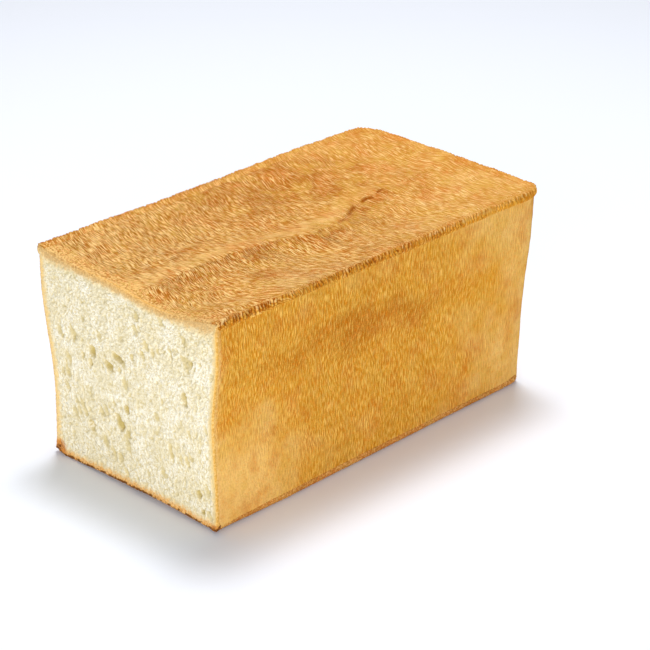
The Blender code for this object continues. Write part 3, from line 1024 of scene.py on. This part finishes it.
inner = smooth(0.0, 0.0040, np.min([distance for distance, *_ in bands], axis=0))
hidden = count - fine.size


def add_face_mark(name, values):
    """Stores a mark on the cut, its lip and, as 0, on all that lies behind."""
    values = values.reshape(fine.size, -1)
    lip_values = values[border(fine)]
    behind = np.zeros((hidden - len(lip_values), values.shape[1]))
    add_mark(crumb_mesh, name, np.concatenate((values, lip_values, behind)).squeeze())


add_face_mark("inner", inner)
add_face_mark("edge", 1 - inner)
add_face_mark("out", face_out)
add_face_mark("browned", browned)
add_face_mark("edge_colour", edge_colour)
add_face_mark("at_base", smooth(0.0024, 0.0012, above_base))

# Lumps of burnt dough at the two feet: X, height and size.
LUMPS = (-0.0510, 0.0036, 0.0048), (0.0568, 0.0022, 0.0024)
lumps = [bell(np.hypot(x - lump_x, z - lump_z), 0, size) for lump_x, lump_z, size in LUMPS]
add_face_mark("lump", np.max(lumps, axis=0))
crumb = bpy.data.objects.new("crumb", crumb_mesh)
bpy.context.scene.collection.objects.link(crumb)

# The larger holes: X, height, length, width, the lean of the long way from upright in
# degrees, and depth as a share of the deepest.
HOLES = (
    (-0.038, 0.0680, 0.0080, 0.0034, 15, 0.35),
    (-0.025, 0.0635, 0.0055, 0.0042, 30, 0.90),
    (-0.026, 0.0570, 0.0040, 0.0022, 10, 0.50),
    (-0.007, 0.0660, 0.0075, 0.0034, 65, 0.80),
    (-0.013, 0.0600, 0.0065, 0.0038, 55, 0.90),
    (0.013, 0.0790, 0.0060, 0.0026, 20, 0.40),
    (0.040, 0.0810, 0.0090, 0.0034, 80, 0.25),
    (0.049, 0.0815, 0.0025, 0.0020, 0, 0.50),
    (0.038, 0.0610, 0.0066, 0.0040, 5, 1.00),
    (-0.002, 0.0415, 0.0048, 0.0034, 30, 0.80),
    (-0.007, 0.0330, 0.0090, 0.0040, 28, 1.00),
    (-0.027, 0.0240, 0.0055, 0.0032, 30, 0.90),
    (-0.001, 0.0290, 0.0045, 0.0028, 20, 0.50),
    (0.028, 0.0310, 0.0085, 0.0028, 15, 0.40),
    (0.039, 0.0296, 0.0060, 0.0024, 15, 0.40),
    (0.046, 0.0160, 0.0038, 0.0034, 0, 0.70),
    (0.049, 0.0080, 0.0028, 0.0020, 60, 0.90),
)


WARP_SIZE, WARP = 0.004, 0.0026  # the cells' pattern is bent, so that no two are alike
ROUND_FOAM, LONG_FOAM = 0.00125, 0.00105  # the finest cells, high up and low down
CELL_LEAN, CELL_STRETCH = 24, (1.0, 0.3, 0.5)  # a small part makes cells long that way
SAG_SIZE, SAG = 0.009, 0.0010  # the sawn crumb isn't quite flat
BURR, LUMP_RISE = 0.0009, 0.0005  # and its edge is rough
PIT_UNIT = 0.001  # the mark "pit" is the depth in these


def open_crumb(material):
    """Tree that opens the cells: pits sunk into the cut, small, middling and large."""
    sizes = ("Foam Depth", "Fine Cell", "Fine Depth", "Middle Cell", "Middle Depth", "Hole Depth")
    tree, geometry, size = geometry_tree("open_crumb", sizes)
    place = geometry.node("GeometryNodeInputPosition")
    warp = place.swells(WARP_SIZE, output="Color").moved((-0.5, -0.5, -0.5))
    bent = place.moved(warp.times(WARP))

    def leaning(vector, degrees):
        """A vector turned so that its Z runs along a line that leans towards -X."""
        inputs = {"Vector": vector, "Angle": math.radians(degrees)}
        return vector.node("ShaderNodeVectorRotate", {"rotation_type": "Y_AXIS"}, inputs)

    stretched = leaning(bent, CELL_LEAN).scaled(*CELL_STRETCH)

    def pits(cell, share):
        """Round pits in a share of the cells, each deepest in its middle."""
        inputs = {"Vector": stretched.times(1 / cell), "Scale": 1.0, "Randomness": 1.0}
        distance = place.node("ShaderNodeTexVoronoi", {}, inputs, "Distance")
        tint = place.node("ShaderNodeTexVoronoi", {}, inputs, "Color")
        chance = tint.node("ShaderNodeSeparateXYZ", {}, {0: tint}, 0)
        width = (chance - (1 - share)).rising(0.0, share) * 0.6 + 0.001
        return (1 - distance / width).rising(0.0, 0.8)

    low_down = place.node("ShaderNodeSeparateXYZ", {}, {0: place}, "Z").rising(0.075, 0.030)
    round_foam = bent.swells(ROUND_FOAM, 2.0, 0.65)
    long_foam = stretched.swells(LONG_FOAM, 2.0, 0.65)
    foam = round_foam + (long_foam - round_foam) * low_down
    fine = (foam - 0.38).rising(0.0, 0.26)
    small = pits(size("Fine Cell"), 0.60)
    middle = pits(size("Middle Cell"), 0.40)
    hole = None
    for x, z, length, width, lean, share in HOLES:
        turned = leaning(bent.moved((-x, 0, -z)), lean)
        reach = turned.scaled(2 / width, 0, 2 / length)
        distance = reach.node("ShaderNodeVectorMath", {"operation": "LENGTH"}, {0: reach}, "Value")
        one = (1.25 - distance).rising(0.0, 0.75) * share
        hole = one if hole is None else hole.maths("MAXIMUM", hole, one)
    depth = fine * size("Foam Depth") + small * size("Fine Depth") + middle * size("Middle Depth")
    depth = (depth + hole * size("Hole Depth")) * mark_in(geometry, "inner")
    sag = (place.swells(SAG_SIZE) - 0.5) * SAG * mark_in(geometry, "inner")
    rough = (place.swells(GRANULE, 2.0, 0.6) - 0.5) * BURR * mark_in(geometry, "edge")
    rough = rough + mark_in(geometry, "lump") * LUMP_RISE
    moved = pushed_out(geometry, rough + sag - depth)
    finish_tree(stored(moved, "pit", depth * (1 / PIT_UNIT)), material)
    return tree


MOTTLE, COARSE_MOTTLE, CLOUD = 0.0008, 0.0022, 0.012  # sizes of its lighter and darker places


def crumb_material():
    """Moist white crumb, with painted shade in its pits, and browned towards the skin."""
    material = bpy.data.materials.new("crumb_white")
    material.use_nodes = True
    tree = Wire(material.node_tree)
    pit, browned, lump = tree.mark("pit"), tree.mark("browned"), tree.mark("lump")
    place = tree.node("ShaderNodeTexCoord", {}, {}, "Object")
    mottle = place.swells(MOTTLE, 3.0, 0.65)
    coarse = place.swells(COARSE_MOTTLE, 3.0, 0.6)
    cloud = place.swells(CLOUD)
    ground = tree.node("ShaderNodeRGB")
    ground.socket.default_value = colour(244, 233, 200)
    # Painted light at the finest scale: where the fine mottle is high it lightens as highlight on
    # the cell walls, along with larger pale clouds of crumb; where it is low it darkens as shade in
    # pores too small to sink.
    tone = ground.tinted(colour(255, 249, 230), (cloud * 0.5 + mottle * 0.5).rising(0.44, 0.60))
    tone = tone.tinted(colour(226, 208, 160), (0.48 - mottle).rising(0.0, 0.12) * 0.8)
    # Painted shade: the deeper a pit, the darker and yellower its colour; the deepest holes are
    # darkest.
    tone = tone.tinted(colour(218, 200, 146), pit.rising(0.10, 0.80) * 0.85)
    tone = tone.tinted(colour(204, 184, 118), pit.rising(0.8, 2.4))
    granule = place.swells(GRANULE, 2.0, 0.65)
    near = browned + ((mottle - 0.5) * 0.8 + (coarse - 0.5) * 0.7) * browned.rising(0.0, 0.3)
    tone = tone.tinted(colour(244, 218, 160), near.rising(0.05, 0.50) * 0.7)
    crusty = tree.mark("edge_colour", "Color")
    crusty = crusty.tinted(colour(168, 104, 34), (0.5 - granule).rising(0.0, 0.14) * browned * 0.30)
    crusty = crusty.tinted(colour(248, 210, 142), (granule - 0.5).rising(0.0, 0.14) * 0.7)
    tone = tone.tinted(crusty, near.rising(0.30, 0.75))
    tone = tone.tinted(colour(208, 132, 52), lump.rising(0.2, 0.7) * 0.9)
    dark_foot = (tree.mark("at_base") * coarse).rising(0.38, 0.48)
    dark_foot = dark_foot + (lump * (1 - granule)).rising(0.46, 0.56)
    tone = tone.tinted(colour(112, 62, 18), dark_foot * 0.9)
    finish_material(material, tone, mottle, 0.85, 0.2)
    return material


crumb_white = crumb_material()
cell_sizes = {"Foam Depth": 0.0007, "Fine Cell": 0.0016, "Fine Depth": 0.0005}
cell_sizes |= {"Middle Cell": 0.0040, "Middle Depth": 0.0009, "Hole Depth": 0.0028}
work(crumb, open_crumb(crumb_white), cell_sizes)
held_in_size(crumb)
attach(crumb, "root")
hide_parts("loaf")


# ---------------------------------------------------------------------------
# Studio. A plain near-white floor and a soft surround, a broad lamp high behind the
# loaf, and a larger, weaker one by the camera. The camera looks at the cut's corner.
# ---------------------------------------------------------------------------

bpy.ops.mesh.primitive_plane_add(size=6, location=(0, 0, LOAF_LOW.z))
floor = bpy.context.object
floor.name = "floor"
white = bpy.data.materials.new("floor_white")
white.use_nodes = True
white.node_tree.nodes["Principled BSDF"].inputs["Base Color"].default_value = (0.87, 0.905, 0.985, 1)
white.node_tree.nodes["Principled BSDF"].inputs["Roughness"].default_value = 0.9
floor.data.materials.append(white)

surround = bpy.data.worlds.new("surround")
surround.use_nodes = True
surround.node_tree.nodes["Background"].inputs["Color"].default_value = (1, 1, 1, 1)
surround.node_tree.nodes["Background"].inputs["Strength"].default_value = 0.34
bpy.context.scene.world = surround


def aim(thing, place, target):
    """Puts a lamp or the camera at a place, looking at a target."""
    thing.location = place
    thing.rotation_euler = (Vector(target) - Vector(place)).to_track_quat("-Z", "Y").to_euler()
    bpy.context.scene.collection.objects.link(thing)


LIT_POINT = (0, 0, 0.05)


def add_lamp(name, place, size, power):
    """A square lamp at a place, turned towards the middle of the loaf."""
    lamp = bpy.data.objects.new(name, bpy.data.lights.new(name, "AREA"))
    lamp.data.size = size
    lamp.data.energy = power
    aim(lamp, place, LIT_POINT)


add_lamp("high_lamp", (-0.22, 0.26, 1.20), 0.4, 11.7)
add_lamp("camera_lamp", (0.80, -1.00, 0.28), 0.9, 14.0)

AZIMUTH, ELEVATION = math.radians(44.58), math.radians(25.60)
DISTANCE = 1.1891
TARGET = Vector((0.0135, 0.0052, 0.0508))
level = math.cos(ELEVATION)
back = Vector((math.sin(AZIMUTH) * level, -math.cos(AZIMUTH) * level, math.sin(ELEVATION)))
camera = bpy.data.objects.new("camera", bpy.data.cameras.new("camera"))
camera.data.sensor_width = 36.0
camera.data.lens = 136.5
aim(camera, TARGET + back * DISTANCE, TARGET)
bpy.context.scene.camera = camera
bpy.context.scene.view_settings.view_transform = "Standard"
